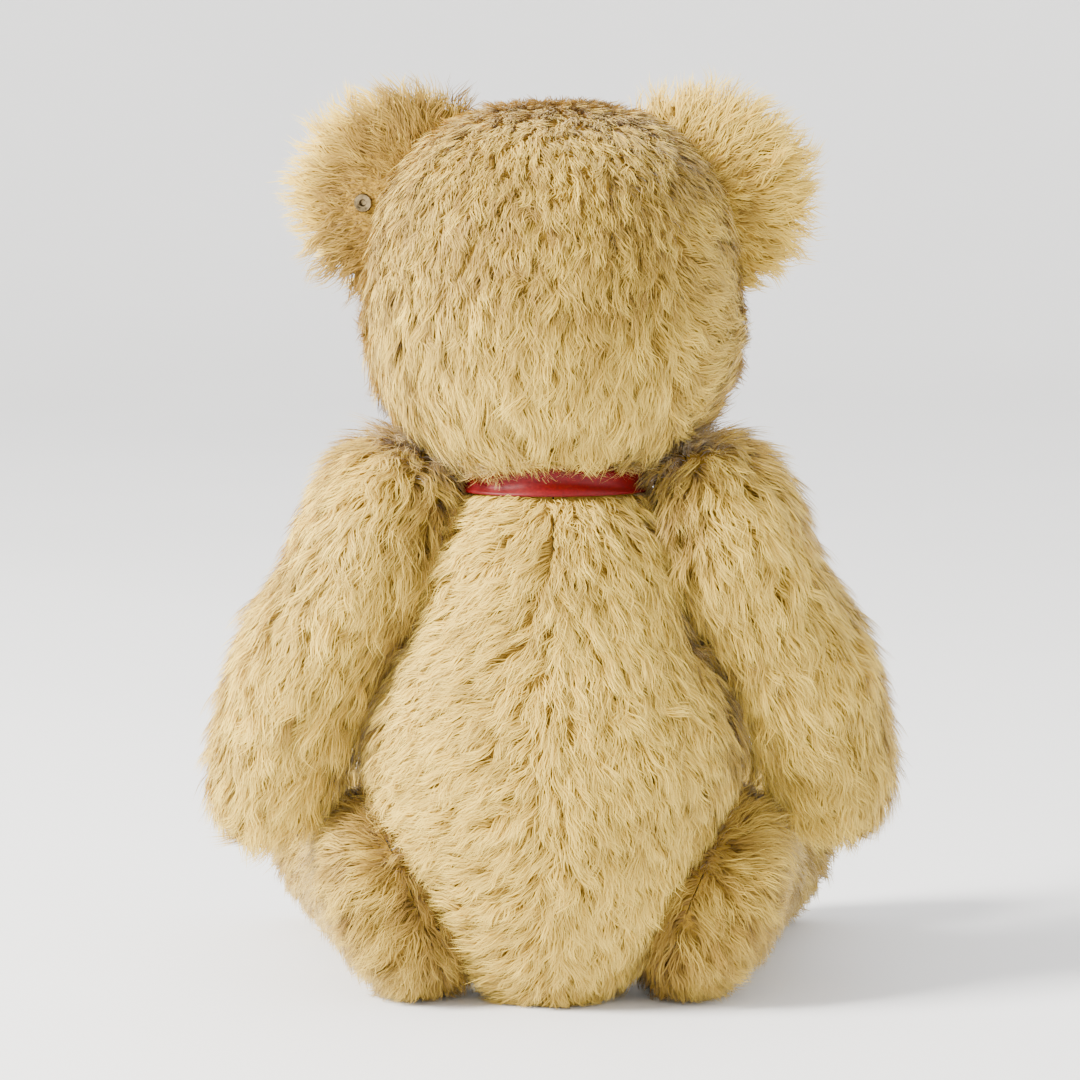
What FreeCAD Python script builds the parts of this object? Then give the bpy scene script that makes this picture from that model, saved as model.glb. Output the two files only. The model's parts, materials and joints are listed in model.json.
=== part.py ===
import FreeCAD, Part
import math
import os
import Sketcher

# A five-way jointed plush bear, sitting. It faces -Y, +Z is up and its left side is +X.
# Every soft piece is a sewn cover over a firm filling. Head, arms and legs each turn on
# two hardboard discs clamped by a split pin and two washers.

os.makedirs("parts", exist_ok=True)
doc = FreeCAD.newDocument("jointed_bear")
Vector = FreeCAD.Vector
Placement = FreeCAD.Placement
Rotation = FreeCAD.Rotation

# ---------------------------------------------------------------- driving dimensions, mm and degrees
SIZES = {
    "cover_thickness": 2.5,
    "filling_gap": 0.2,
    "joint_gap": 0.3,
    "stitch_height": 0.9,
    # joint centres and the lean of their axes
    "neck_height": 157,
    "shoulder_out": 31.5,
    "shoulder_height": 130,
    "shoulder_lean": 10,
    "hip_out": 33.5,
    "hip_front": 6,
    "hip_height": 33,
    "hip_lean": -22,
    "arm_left_forward": 4,
    "arm_right_forward": 9,
    "leg_forward": 88,
    # sockets pressed into the torso by the limbs
    "arm_socket_radius": 32,
    "leg_socket_radius": 31,
    # joint hardware
    "disc_thickness": 3,
    "neck_disc_radius": 18,
    "arm_disc_radius": 12.5,
    "leg_disc_radius": 12.5,
    "washer_radius": 7.5,
    "washer_thickness": 1,
    "pin_radius": 1.6,
    "pin_clearance": 0.05,
    "pin_eye_radius": 3.2,
    "pin_wire_radius": 1.1,
    "pin_curl_radius": 2.2,
    "pin_curl_wire": 0.74,
    # head
    "head_half_width": 50.5,
    "head_half_depth": 47,
    "head_half_height": 51,
    "head_height": 203,
    "head_front": 5,
    "muzzle_half_width": 25,
    "muzzle_half_height": 21,
    "muzzle_front": 81,
    "muzzle_height": 192,
    "gusset_half_width": 16,
    "gusset_bottom": 196,
    # ears
    "ear_reach": 30,
    "ear_half_length": 27,
    "ear_out": 39,
    "ear_height": 228,
    "ear_lift": 20,
    "ear_cup_radius": 42,
    "ear_panel": 2,
    "stud_reach": 13,
    "stud_drop": 5,
    "stud_head_radius": 3,
    "stud_shank_radius": 1.2,
    # face
    "eye_radius": 4.6,
    "eye_out": 20,
    "eye_height": 211,
    "eye_shank_radius": 0.8,
    "eye_shank_length": 7,
    "nose_half_width": 9,
    "nose_half_height": 6,
    "thread_width": 1.2,
    # ribbon
    "ribbon_width": 11,
    "ribbon_thickness": 0.8,
    "neck_ribbon_bottom": 146.5,
    "neck_ribbon_radius": 27.3,
    "neck_ribbon_narrowing": 3.7,
    "bow_reach_left": 45,
    "bow_reach_right": 38,
    "bow_front": 40,
    "bow_height": 152,
    "bow_lift": 13,
    "bow_loop_half_depth": 5.5,
    "bow_tail_length": 40,
    "knot_half_width": 4.5,
}

# Sections of the torso: height, half width, half depth, shift to the front.
TORSO = (
    (0, 10, 9.5, 0),
    (7, 19, 18, 0),
    (20, 29.5, 28, 1),
    (37, 40, 37.5, 2),
    (58, 49, 43, 2.5),
    (78, 51.5, 44, 2.5),
    (98, 44.5, 40.5, 1.5),
    (118, 38.5, 36, 0),
    (134, 34, 31, -1.5),
    (147, 26, 24.3, -0.5),
    (157, 21.5, 21, 0),
)

# Sections of a limb: distance along it, shift to its front, distance of the middle from the
# joint's contact plane, half width seen from its side, half thickness.
ARM = (
    (-27, 0, 15, 8, 7),
    (-22, 0, 15.5, 15.5, 13.5),
    (-11, 0, 15.5, 22, 19.5),
    (6, 0, 17.5, 24, 21),
    (27, 0, 26, 22.5, 20),
    (50, 1, 32, 20, 19),
    (72, 4, 34.5, 18, 17),
    (84, 6, 35, 15, 14),
    (91, 7, 35, 8, 7.5),
)
LEG = (
    (-28, 0, 12, 9, 6.5),
    (-22, 0, 12, 19, 12),
    (-9, 0, 12.3, 27.5, 16.3),
    (10, 0, 13.5, 28.5, 17.3),
    (38, -1, 19, 24, 17),
    (66, 0, 25, 19.5, 16),
    (86, 4, 29.5, 21, 16.5),
    (99, 9, 32.5, 26.5, 17.5),
    (107, 10, 34, 26, 17.2),
)
FIELDS = {
    "torso": ("height", "half_width", "half_depth", "front"),
    "arm": ("along", "front", "out", "half_width", "half_thick"),
    "leg": ("along", "front", "out", "half_width", "half_thick"),
}
STATIONS = {"torso": TORSO, "arm": ARM, "leg": LEG}

sheet = doc.addObject("Spreadsheet::Sheet", "sizes")
cells = dict(SIZES)
for form, rows in STATIONS.items():
    for number, row in enumerate(rows):
        for field, value in zip(FIELDS[form], row):
            cells[f"{form}_{field}_at{number}"] = value
for line, (alias, value) in enumerate(cells.items(), start=1):
    sheet.set(f"A{line}", alias)
    sheet.set(f"B{line}", str(value))
    sheet.setAlias(f"B{line}", alias)
doc.recompute()


def size(alias):
    """The value of one named cell."""
    return float(sheet.get(alias))


# ---------------------------------------------------------------- small building blocks
def cut(name, base, tool):
    item = doc.addObject("Part::Cut", name)
    item.Base = base
    item.Tool = tool
    item.Refine = False
    return item


def common(name, first, second):
    item = doc.addObject("Part::Common", name)
    item.Base = first
    item.Tool = second
    item.Refine = False
    return item


def join(name, pieces):
    item = doc.addObject("Part::MultiFuse", name)
    item.Shapes = pieces
    item.Refine = False
    return item


def block(name, low, high, placement=Placement()):
    """A box between two opposite corners, in the frame of the given placement."""
    item = doc.addObject("Part::Box", name)
    item.Length = high[0] - low[0]
    item.Width = high[1] - low[1]
    item.Height = high[2] - low[2]
    item.Placement = placement.multiply(Placement(Vector(*low), Rotation()))
    return item


def rod(name, radius, low, high, placement=Placement()):
    """A cylinder about the Z axis of the given placement, between two heights."""
    item = doc.addObject("Part::Cylinder", name)
    item.setExpression("Radius", radius)
    item.Height = high - low
    item.Placement = placement.multiply(Placement(Vector(0, 0, low), Rotation()))
    return item


def prism(name, outline, direction, length):
    """An outline swept straight along a direction into a solid."""
    item = doc.addObject("Part::Extrusion", name)
    item.Base = outline
    item.DirMode = "Custom"
    item.Dir = direction
    item.LengthFwd = length
    item.Solid = True
    return item


def loft(name, sections):
    item = doc.addObject("Part::Loft", name)
    item.Sections = sections
    item.Solid = True
    item.Ruled = False
    return item


finished = []


def finish(label, item, placement=None, solids=1):
    """Names a finished piece, puts it in its place and lists it for export."""
    item.Label = label
    if placement is not None:
        item.Placement = placement.multiply(item.Placement)
    finished.append((item, solids))
    return item


FAR = 300
COVER = size("cover_thickness")
GAP = size("joint_gap") / 2
FILLING = COVER + size("filling_gap")
LEFT, RIGHT = 1, -1
SIDE_NAMES = {LEFT: "left", RIGHT: "right"}

# ---------------------------------------------------------------- joint frames
# In each joint frame Z points out of the torso along the joint axis, X is the limb's front
# and the limb runs along +Y on the left side and along -Y on the right side.


def limb_frame(side, centre, lean, forward):
    """The frame of a limb joint whose axis leans up by lean and whose limb is swung forward."""
    tilt = math.radians(lean)
    outward = Vector(side * math.cos(tilt), 0, math.sin(tilt))
    front = Vector(0, -1, 0)
    upright = Rotation(front, outward.cross(front), outward, "ZXY")
    swing = Rotation(Vector(0, 0, 1), -side * forward)
    return Placement(Vector(side * centre[0], -centre[1], centre[2]), upright.multiply(swing))


NECK = Placement(Vector(0, 0, size("neck_height")), Rotation())
SHOULDER = {
    side: limb_frame(
        side,
        (size("shoulder_out"), 0, size("shoulder_height")),
        size("shoulder_lean"),
        size(f"arm_{SIDE_NAMES[side]}_forward"),
    )
    for side in (LEFT, RIGHT)
}
HIP = {
    side: limb_frame(
        side,
        (size("hip_out"), size("hip_front"), size("hip_height")),
        size("hip_lean"),
        size("leg_forward"),
    )
    for side in (LEFT, RIGHT)
}
SOCKETS = {"neck": (NECK, "neck_disc_radius", None)}
for side, word in SIDE_NAMES.items():
    SOCKETS[f"arm_{word}"] = (SHOULDER[side], "arm_disc_radius", "arm_socket_radius")
    SOCKETS[f"leg_{word}"] = (HIP[side], "leg_disc_radius", "leg_socket_radius")


# ---------------------------------------------------------------- joint hardware
def ring(label, outer, inner, thickness, placement, rounded=0):
    """A flat stamped ring, its lower face on the placement's XY plane."""
    body = doc.addObject("PartDesign::Body", label + "_body")
    plane = next(f for f in body.Origin.OriginFeatures if f.Role == "XY_Plane")
    sketch = body.newObject("Sketcher::SketchObject", label + "_outline")
    sketch.AttachmentSupport = [(plane, "")]
    sketch.MapMode = "FlatFace"
    for number, expression in enumerate((outer, inner)):
        sketch.addGeometry(Part.Circle(Vector(), Vector(0, 0, 1), 10 - 5 * number), False)
        sketch.addConstraint(Sketcher.Constraint("Coincident", number, 3, -1, 1))
        radius = sketch.addConstraint(Sketcher.Constraint("Radius", number, 10 - 5 * number))
        sketch.setExpression(f"Constraints[{radius}]", expression)
    pad = body.newObject("PartDesign::Pad", label + "_plate")
    pad.Profile = sketch
    pad.setExpression("Length", thickness)
    doc.recompute()
    if rounded:
        fillet = body.newObject("PartDesign::Fillet", label + "_round")
        rims = [
            f"Edge{i}"
            for i, edge in enumerate(pad.Shape.Edges, start=1)
            if hasattr(edge.Curve, "Radius") and len(edge.Vertexes) == 1 and edge.Curve.Radius > 10
        ]
        fillet.Base = (pad, rims)
        fillet.Radius = rounded
    body.Placement = placement
    return body


DISC = size("disc_thickness")
WASHER = size("washer_thickness")
BORE = "sizes.pin_radius + sizes.pin_clearance"
# Heights in a joint frame, away from the contact plane, the same on both sides of it.
DISC_FACE = GAP + COVER
WASHER_FACE = DISC_FACE + DISC
STACK_END = WASHER_FACE + WASHER
CURL_CENTRE = STACK_END + size("pin_clearance")
CURL_TOP = CURL_CENTRE + size("pin_curl_radius") + size("pin_curl_wire")
EYE_CENTRE = STACK_END + size("pin_eye_radius") + size("pin_wire_radius")
EYE_TOP = EYE_CENTRE + size("pin_eye_radius") + size("pin_wire_radius")


def shifted(placement, height, flipped=False):
    """The placement moved along its own Z, upside down if flipped."""
    turn = Rotation(Vector(1, 0, 0), 180) if flipped else Rotation()
    return placement.multiply(Placement(Vector(0, 0, height), turn))


def disc(label, placement, radius):
    finish(label, ring(label, f"sizes.{radius}", BORE, "sizes.disc_thickness", placement, 0.8))


def washer(label, placement):
    return ring(label, "sizes.washer_radius", BORE, "sizes.washer_thickness", placement)


def split_pin(label, placement):
    """A split pin: an eye above the limb's washer and two rolled legs below the torso's washer."""
    legs_end = -CURL_CENTRE
    shank = rod(label + "_shank", "sizes.pin_radius", legs_end, STACK_END + 0.5)
    eye = doc.addObject("Part::Torus", label + "_eye")
    eye.setExpression("Radius1", "sizes.pin_eye_radius")
    eye.setExpression("Radius2", "sizes.pin_wire_radius")
    eye.Placement = Placement(Vector(0, 0, EYE_CENTRE), Rotation(Vector(1, 0, 0), 90))
    pieces = [shank, eye]
    for side in (LEFT, RIGHT):
        curl = doc.addObject("Part::Torus", f"{label}_curl_{SIDE_NAMES[side]}")
        curl.setExpression("Radius1", "sizes.pin_curl_radius")
        curl.setExpression("Radius2", "sizes.pin_curl_wire")
        curl.Angle3 = 180
        middle = side * (size("pin_curl_radius") + size("pin_radius") / 2)
        curl.Placement = Placement(Vector(middle, 0, legs_end), Rotation(Vector(1, 0, 0), -90))
        pieces.append(curl)
    finish(label, join(label + "_solid", pieces), placement)


torso_washers = []
for joint, (frame, disc_radius, _) in SOCKETS.items():
    disc(f"torso_disc_{joint}", shifted(frame, -DISC_FACE, True), disc_radius)
    torso_washers.append(washer(f"torso_washer_{joint}", shifted(frame, -WASHER_FACE, True)))
washer_set = doc.addObject("Part::Compound", "torso_washer_set")
washer_set.Links = torso_washers
finish("torso_washers", washer_set, solids=len(torso_washers))


def stack_pocket(name, frame, radius, side, top):
    """The room that a disc, a washer and a pin's end take inside a filling."""
    spare = size("filling_gap")
    around = Placement(frame)
    reach = WASHER_FACE + spare
    wide = (0, reach) if side > 0 else (-reach, 0)
    deep = (0, top + spare) if side > 0 else (-top - spare, 0)
    disc_room = rod(name + "_disc_room", f"sizes.{radius} + sizes.filling_gap", *wide, around)
    pin_room = rod(name + "_pin_room", "sizes.washer_radius + sizes.filling_gap", *deep, around)
    return join(name, [disc_room, pin_room])


# ---------------------------------------------------------------- torso
def torso_form(name, grow):
    """The torso's pear shape, its skin moved out by grow (in if negative)."""
    sections = []
    last = len(TORSO) - 1
    for number in range(len(TORSO)):
        lift = {0: -grow, last: grow - GAP}.get(number, 0)
        ellipse = doc.addObject("Part::Ellipse", f"{name}_section{number}")
        ellipse.setExpression("MajorRadius", f"sizes.torso_half_width_at{number} + {grow}")
        ellipse.setExpression("MinorRadius", f"sizes.torso_half_depth_at{number} + {grow}")
        ellipse.setExpression("Placement.Base.y", f"-sizes.torso_front_at{number}")
        ellipse.setExpression("Placement.Base.z", f"sizes.torso_height_at{number} + {lift}")
        sections.append(ellipse)
    return loft(name, sections)


def with_sockets(name, form, inset):
    """The form with the flat sockets of the four limbs pressed in, inset behind the contact planes."""
    tools = []
    for joint, (frame, _, radius) in SOCKETS.items():
        if radius:
            tool = rod(
                f"{name}_{joint}", f"sizes.{radius} + {inset}", -GAP - inset, FAR / 4, frame
            )
            tools.append(tool)
    return cut(name, form, join(name + "_tools", tools))


torso_outer = with_sockets("torso_skin", torso_form("torso_skin_form", 0), 0)
torso_inner = with_sockets("torso_lining", torso_form("torso_lining_form", -COVER), COVER)
torso_core = with_sockets("torso_core", torso_form("torso_core_form", -FILLING), FILLING)
hollow_torso = cut("torso_shell", torso_outer, torso_inner)
holes = [
    rod(f"torso_hole_{joint}", "sizes.pin_radius + 0.5", -DISC_FACE - 1, 1, frame)
    for joint, (frame, _, _) in SOCKETS.items()
]
pierced_torso = cut("torso_shell_pierced", hollow_torso, join("torso_holes", holes))
left_half = block("left_half", (0, -FAR, -FAR), (FAR, FAR, FAR))
right_half = block("right_half", (-FAR, -FAR, -FAR), (0, FAR, FAR))
finish("torso_cover_left", cut("torso_cover_left_solid", pierced_torso, right_half))
finish("torso_cover_right", cut("torso_cover_right_solid", pierced_torso, left_half))
pockets = [
    stack_pocket(f"torso_pocket_{joint}", frame, radius, -1, CURL_TOP)
    for joint, (frame, radius, _) in SOCKETS.items()
]
finish("torso_filling", cut("torso_filling_solid", torso_core, join("torso_pockets", pockets)))


# ---------------------------------------------------------------- head
HEAD_LEVELS = (-0.74, -0.5, -0.2, 0.1, 0.4, 0.65, 0.83, 0.94, 0.99)
SQUARENESS = 2.5
# Sections of the muzzle: shares of its reach, half width and half height.
MUZZLE = (
    (0.25, 0.98, 0.98),
    (0.6, 1, 1),
    (0.78, 0.9, 0.9),
    (0.91, 0.73, 0.75),
    (0.98, 0.45, 0.47),
    (1, 0.2, 0.2),
)


def head_form(name, grow):
    """The head: rounded-square sections stacked about its middle, and an egg-shaped muzzle."""
    facet = size("neck_height") + GAP - grow - size("head_height")
    half_height = size("head_half_height") + grow
    sections = []
    for number, level in enumerate((facet / half_height,) + HEAD_LEVELS):
        share = (1 - abs(level) ** SQUARENESS) ** (1 / SQUARENESS)
        ellipse = doc.addObject("Part::Ellipse", f"{name}_section{number}")
        ellipse.setExpression("MajorRadius", f"(sizes.head_half_width + {grow}) * {share}")
        ellipse.setExpression("MinorRadius", f"(sizes.head_half_depth + {grow}) * {share}")
        ellipse.setExpression("Placement.Base.y", "-sizes.head_front")
        ellipse.setExpression(
            "Placement.Base.z",
            f"sizes.head_height + {level} * (sizes.head_half_height + {grow})",
        )
        sections.append(ellipse)
    skull = loft(name + "_skull", sections)
    muzzle = muzzle_form(name + "_muzzle", grow)
    return join(name, [skull, muzzle])


def muzzle_form(name, grow):
    """The snout: upright oval sections from inside the skull out to the nose."""
    sections = []
    for number, (front, width, height) in enumerate(MUZZLE):
        lead = grow if number == len(MUZZLE) - 1 else 0
        ellipse = doc.addObject("Part::Ellipse", f"{name}_section{number}")
        ellipse.setExpression("MajorRadius", f"sizes.muzzle_half_width * {width} + {grow}")
        ellipse.setExpression("MinorRadius", f"sizes.muzzle_half_height * {height} + {grow}")
        ellipse.Placement = Placement(Vector(), Rotation(Vector(1, 0, 0), 90))
        ellipse.setExpression("Placement.Base.y", f"-sizes.muzzle_front * {front} - {lead}")
        ellipse.setExpression("Placement.Base.z", "sizes.muzzle_height")
        sections.append(ellipse)
    return loft(name, sections)


head_outer = head_form("head_skin", 0)
head_shell = cut("head_shell", head_outer, head_form("head_lining", -COVER))
HEAD_Y = -size("head_front")


def head_surface_y(across, height):
    """Where the skull's front surface lies, seen from the front at this place."""
    level = abs(height - size("head_height")) / size("head_half_height")
    share = (1 - level**SQUARENESS) ** (1 / SQUARENESS)
    rest = math.sqrt(1 - (across / (size("head_half_width") * share)) ** 2)
    return HEAD_Y - size("head_half_depth") * share * rest


EYE_FRAME = {}
for side in (LEFT, RIGHT):
    eye_x = side * size("eye_out")
    eye_z = size("eye_height")
    eye_y = head_surface_y(eye_x, eye_z)
    outward = Vector(eye_x, 2 * (eye_y - HEAD_Y), 0.5 * (eye_z - size("head_height")))
    EYE_FRAME[side] = Placement(Vector(eye_x, eye_y, eye_z), Rotation(Vector(0, 0, 1), outward))

SHANK = size("eye_shank_length")
head_holes = [rod("head_hole_neck", "sizes.pin_radius + 0.5", -1, DISC_FACE + 1, NECK)]
for side, word in SIDE_NAMES.items():
    hole = rod(f"head_hole_eye_{word}", "sizes.eye_shank_radius + 0.2", -SHANK, 4, EYE_FRAME[side])
    head_holes.append(hole)
head_pierced = cut("head_shell_pierced", head_shell, join("head_holes", head_holes))
gusset_half = size("gusset_half_width")
gusset_strip = block(
    "head_gusset_strip",
    (-gusset_half, -FAR, size("gusset_bottom")),
    (gusset_half, FAR, FAR),
)
head_sides = cut("head_sides", head_pierced, gusset_strip)
finish("head_gusset", common("head_gusset_solid", head_pierced, gusset_strip))
finish("head_cover_left", cut("head_cover_left_solid", head_sides, right_half))
finish("head_cover_right", cut("head_cover_right_solid", head_sides, left_half))

head_rooms = [stack_pocket("head_pocket", NECK, "neck_disc_radius", 1, EYE_TOP)]
for side, word in SIDE_NAMES.items():
    room = rod(
        f"head_room_eye_{word}",
        "sizes.eye_shank_radius + sizes.filling_gap",
        -SHANK - size("filling_gap"),
        0,
        EYE_FRAME[side],
    )
    head_rooms.append(room)
head_core = head_form("head_core", -FILLING)
finish("head_filling", cut("head_filling_solid", head_core, join("head_rooms", head_rooms)))
disc("head_disc", shifted(NECK, DISC_FACE), "neck_disc_radius")
finish("head_washer", washer("head_washer_ring", shifted(NECK, WASHER_FACE)))
split_pin("head_pin", NECK)


def turned(label, outline, placement):
    """A body of revolution about Z from a closed outline of (radius, height) corners."""
    body = doc.addObject("PartDesign::Body", label + "_body")
    plane = next(f for f in body.Origin.OriginFeatures if f.Role == "XZ_Plane")
    sketch = body.newObject("Sketcher::SketchObject", label + "_outline")
    sketch.AttachmentSupport = [(plane, "")]
    sketch.MapMode = "FlatFace"
    for item in outline:
        sketch.addGeometry(item, False)
    for number in range(len(outline)):
        following = (number + 1) % len(outline)
        sketch.addConstraint(Sketcher.Constraint("Coincident", number, 2, following, 1))
    turn = body.newObject("PartDesign::Revolution", label + "_turn")
    turn.Profile = sketch
    turn.ReferenceAxis = (sketch, ["V_Axis"])
    turn.Angle = 360
    body.Placement = placement
    return body


def corner(radius, height):
    return Vector(radius, height, 0)


def line(start, end):
    return Part.LineSegment(corner(*start), corner(*end))


def dome(rim_radius, rim_height, top_height):
    """The arc of a ball's cap between its rim and its top on the axis, above or below the rim."""
    rise = top_height - rim_height
    ball_radius = (rim_radius**2 + rise**2) / (2 * abs(rise))
    up = math.copysign(1, rise)
    middle = top_height - up * ball_radius
    half = math.asin(rim_radius / ball_radius) / 2
    bend = corner(ball_radius * math.sin(half), middle + up * ball_radius * math.cos(half))
    return Part.Arc(corner(rim_radius, rim_height), bend, corner(0, top_height))


# A boot-button eye: a domed button on a thin shank, standing on the skin.
eye_r = size("eye_radius")
shank_r = size("eye_shank_radius")
button_base = 1.4
dome_top = button_base + 0.75 * eye_r
for side, word in SIDE_NAMES.items():
    outline = [
        line((0, -SHANK), (shank_r, -SHANK)),
        line((shank_r, -SHANK), (shank_r, 0.6)),
        line((shank_r, 0.6), (eye_r * 0.9, 0.6)),
        line((eye_r * 0.9, 0.6), (eye_r, button_base)),
        dome(eye_r, button_base, dome_top),
        line((0, dome_top), (0, -SHANK)),
    ]
    eye = turned(f"eye_{word}_turned", outline, EYE_FRAME[side])
    finish(f"eye_{word}", cut(f"eye_{word}_solid", eye, head_pierced))

# Embroidery stands a thread's height above the muzzle.
stitched = muzzle_form("embroidery_form", size("stitch_height"))
NOSE_RISE = 7
MOUTH_DROP = 8
MOUTH_SPREAD = 118
nose_centre = Vector(0, -FAR, size("muzzle_height") + NOSE_RISE)
nose_shape = doc.addObject("Part::Ellipse", "nose_outline")
nose_shape.setExpression("MajorRadius", "sizes.nose_half_width")
nose_shape.setExpression("MinorRadius", "sizes.nose_half_height")
nose_shape.Placement = Placement(nose_centre, Rotation(Vector(1, 0, 0), -90))
nose_prism = prism("nose_prism", nose_shape, Vector(0, 1, 0), FAR - size("muzzle_front") / 2)
nose_block = common("nose_block", stitched, nose_prism)
finish("nose", cut("nose_solid", nose_block, head_outer))

thread = size("thread_width") / 2
mouth_top = size("muzzle_height") + NOSE_RISE - size("nose_half_height")
mouth_fork = mouth_top - MOUTH_DROP
strokes = [
    block(
        "mouth_middle",
        (-thread, -FAR, mouth_fork),
        (thread, -size("muzzle_front") / 2, mouth_top + 0.2),
    )
]
for side, word in SIDE_NAMES.items():
    slope = Placement(Vector(0, 0, mouth_fork), Rotation(Vector(0, 1, 0), side * MOUTH_SPREAD))
    stroke = block(
        f"mouth_{word}", (-thread, -FAR, 0), (thread, -size("muzzle_front") / 2, 10), slope
    )
    strokes.append(stroke)
mouth_block = common("mouth_block", stitched, join("mouth_strokes", strokes))
mouth_over_nose = cut("mouth_below_nose", mouth_block, nose_prism)
finish("mouth_stitches", cut("mouth_stitches_solid", mouth_over_nose, head_outer))


# ---------------------------------------------------------------- ears
def ear_frame(side):
    """X runs out from the head, Y down along the ear's root and the ear lies in the XY plane."""
    lift = math.radians(size("ear_lift"))
    outward = Vector(side * math.cos(lift), 0, math.sin(lift))
    down = Vector(side * math.sin(lift), 0, -math.cos(lift))
    turn = Rotation(outward, down, outward.cross(down), "XYZ")
    return Placement(Vector(side * size("ear_out"), HEAD_Y + 3, size("ear_height")), turn)


CUP = size("ear_cup_radius")
PANEL = size("ear_panel")
CUP_OUT = 6
CUP_BACK = 3
stud_out = size("stud_reach") - CUP_OUT
stud_rise = math.sqrt(CUP**2 - stud_out**2 - size("stud_drop") ** 2)
STUD_TURN = Rotation(Vector(0, 0, 1), Vector(stud_out, size("stud_drop"), stud_rise))
for side, word in SIDE_NAMES.items():
    frame = ear_frame(side)
    # The hollow of the cup faces the front of the head.
    cup_middle = Vector(CUP_OUT, 0, -side * (CUP - CUP_BACK))
    cup_centre = frame.multiply(Placement(cup_middle, Rotation()))
    outline = doc.addObject("Part::Ellipse", f"ear_{word}_outline")
    outline.setExpression("MajorRadius", "sizes.ear_reach")
    outline.setExpression("MinorRadius", "sizes.ear_half_length")
    outline.Placement = frame.multiply(Placement(Vector(0, 0, -FAR / 4), Rotation()))
    through = frame.Rotation.multVec(Vector(0, 0, 1))
    plan = prism(f"ear_{word}_plan", outline, through, FAR / 2)
    levels = []
    for number in range(3):
        level = doc.addObject("Part::Sphere", f"ear_{word}_cup{number}")
        level.setExpression("Radius", f"sizes.ear_cup_radius + {number - 1} * sizes.ear_panel")
        level.Placement = cup_centre
        levels.append(level)
    hollow_side = block(
        f"ear_{word}_front_of_cup",
        (-FAR, -FAR, -FAR if side > 0 else CUP - CUP_BACK),
        (FAR, FAR, CUP_BACK - CUP if side > 0 else FAR),
        frame,
    )
    for panel, outer, inner in (("front", 1, 0), ("back", 2, 1)):
        name = f"ear_{word}_{panel}"
        shell = cut(name + "_shell", levels[outer], levels[inner])
        dish = cut(name + "_dish", shell, hollow_side)
        leaf = cut(name + "_leaf", common(name + "_blank", dish, plan), head_outer)
        if side == LEFT:
            stud_frame = cup_centre.multiply(Placement(Vector(), STUD_TURN))
            hole = rod(name + "_hole", "sizes.stud_shank_radius + 0.1", 0, FAR / 3, stud_frame)
            leaf = cut(name + "_pierced", leaf, hole)
        finish(name, leaf)

# The stud in the left ear: a domed cap in front, a shank and a rolled collar behind. Its heights
# are measured out from the middle of the cup's sphere.
cap_r = size("stud_head_radius")
stud_r = size("stud_shank_radius")
cap = 0.9
cap_face = CUP - PANEL - 0.35
collar = CUP + PANEL + 0.35
stud_outline = [
    dome(cap_r, cap_face, cap_face - cap),
    line((cap_r, cap_face), (stud_r, cap_face)),
    line((stud_r, cap_face), (stud_r, collar)),
    line((stud_r, collar), (0.9 * cap_r, collar)),
    line((0.9 * cap_r, collar), (0.8 * cap_r, collar + 0.9)),
    line((0.8 * cap_r, collar + 0.9), (0.35 * cap_r, collar + 0.7)),
    line((0.35 * cap_r, collar + 0.7), (0.25 * cap_r, collar - 0.5)),
    line((0.25 * cap_r, collar - 0.5), (0, collar - 0.5)),
    line((0, collar - 0.5), (0, cap_face - cap)),
]
stud = turned("ear_stud_turned", stud_outline, stud_frame)
finish("ear_stud", stud)


# ---------------------------------------------------------------- limbs
def limb_form(name, limb, side, grow):
    """A limb's stuffed shape in its joint frame, its skin moved out by grow (in if negative)."""
    sections = []
    last = len(STATIONS[limb]) - 1
    for number in range(last + 1):
        shift = {0: -grow, last: grow}.get(number, 0)
        cell = f"_at{number}"
        ellipse = doc.addObject("Part::Ellipse", f"{name}_section{number}")
        ellipse.setExpression("MajorRadius", f"sizes.{limb}_half_width{cell} + {grow}")
        ellipse.setExpression("MinorRadius", f"sizes.{limb}_half_thick{cell} + {grow}")
        ellipse.Placement = Placement(Vector(), Rotation(Vector(1, 0, 0), 90))
        ellipse.setExpression("Placement.Base.x", f"sizes.{limb}_front{cell}")
        ellipse.setExpression("Placement.Base.y", f"{side} * (sizes.{limb}_along{cell} + {shift})")
        ellipse.setExpression("Placement.Base.z", f"sizes.{limb}_out{cell}")
        sections.append(ellipse)
    whole = loft(name + "_sausage", sections)
    floor = GAP + (-grow if grow < 0 else 0)
    behind = block(name + "_behind", (-FAR, -FAR, -FAR), (FAR, FAR, floor))
    return cut(name, whole, behind)


def slab_across(name, side, low, high):
    """Everything of a limb between two distances along it."""
    ends = sorted((side * low, side * high))
    return block(name, (-FAR, ends[0], -FAR), (FAR, ends[1], FAR))


def claw_bars(name, side, along, front, out, spacing, length):
    """Four parallel bars that mark where the claw stitches lie, over the limb's front edge."""
    bars = []
    for number in range(4):
        offset = (number - 1.5) * spacing
        ends = sorted((side * along, side * (along + length)))
        low = (front, ends[0], out + offset - thread)
        high = (front + FAR / 6, ends[1], out + offset + thread)
        bars.append(block(f"{name}{number}", low, high))
    return join(name, bars)


def seam_wedge(name, side, limb, first, last):
    """The half of a limb on the far side of its seam, which runs between two of its sections."""
    start, end = STATIONS[limb][first], STATIONS[limb][last]
    slope = math.degrees(math.atan2(end[2] - start[2], end[0] - start[0]))
    at = Placement(Vector(0, side * start[0], start[2]), Rotation(Vector(1, 0, 0), side * slope))
    return block(name, (-FAR, -FAR, 0), (FAR, FAR, FAR), at)


CLAWS = {
    "arm": dict(along=78, front=6, out=35, spacing=4.6, length=20),
    "leg": dict(along=92, front=10, out=32.8, spacing=5.2, length=12),
}
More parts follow.
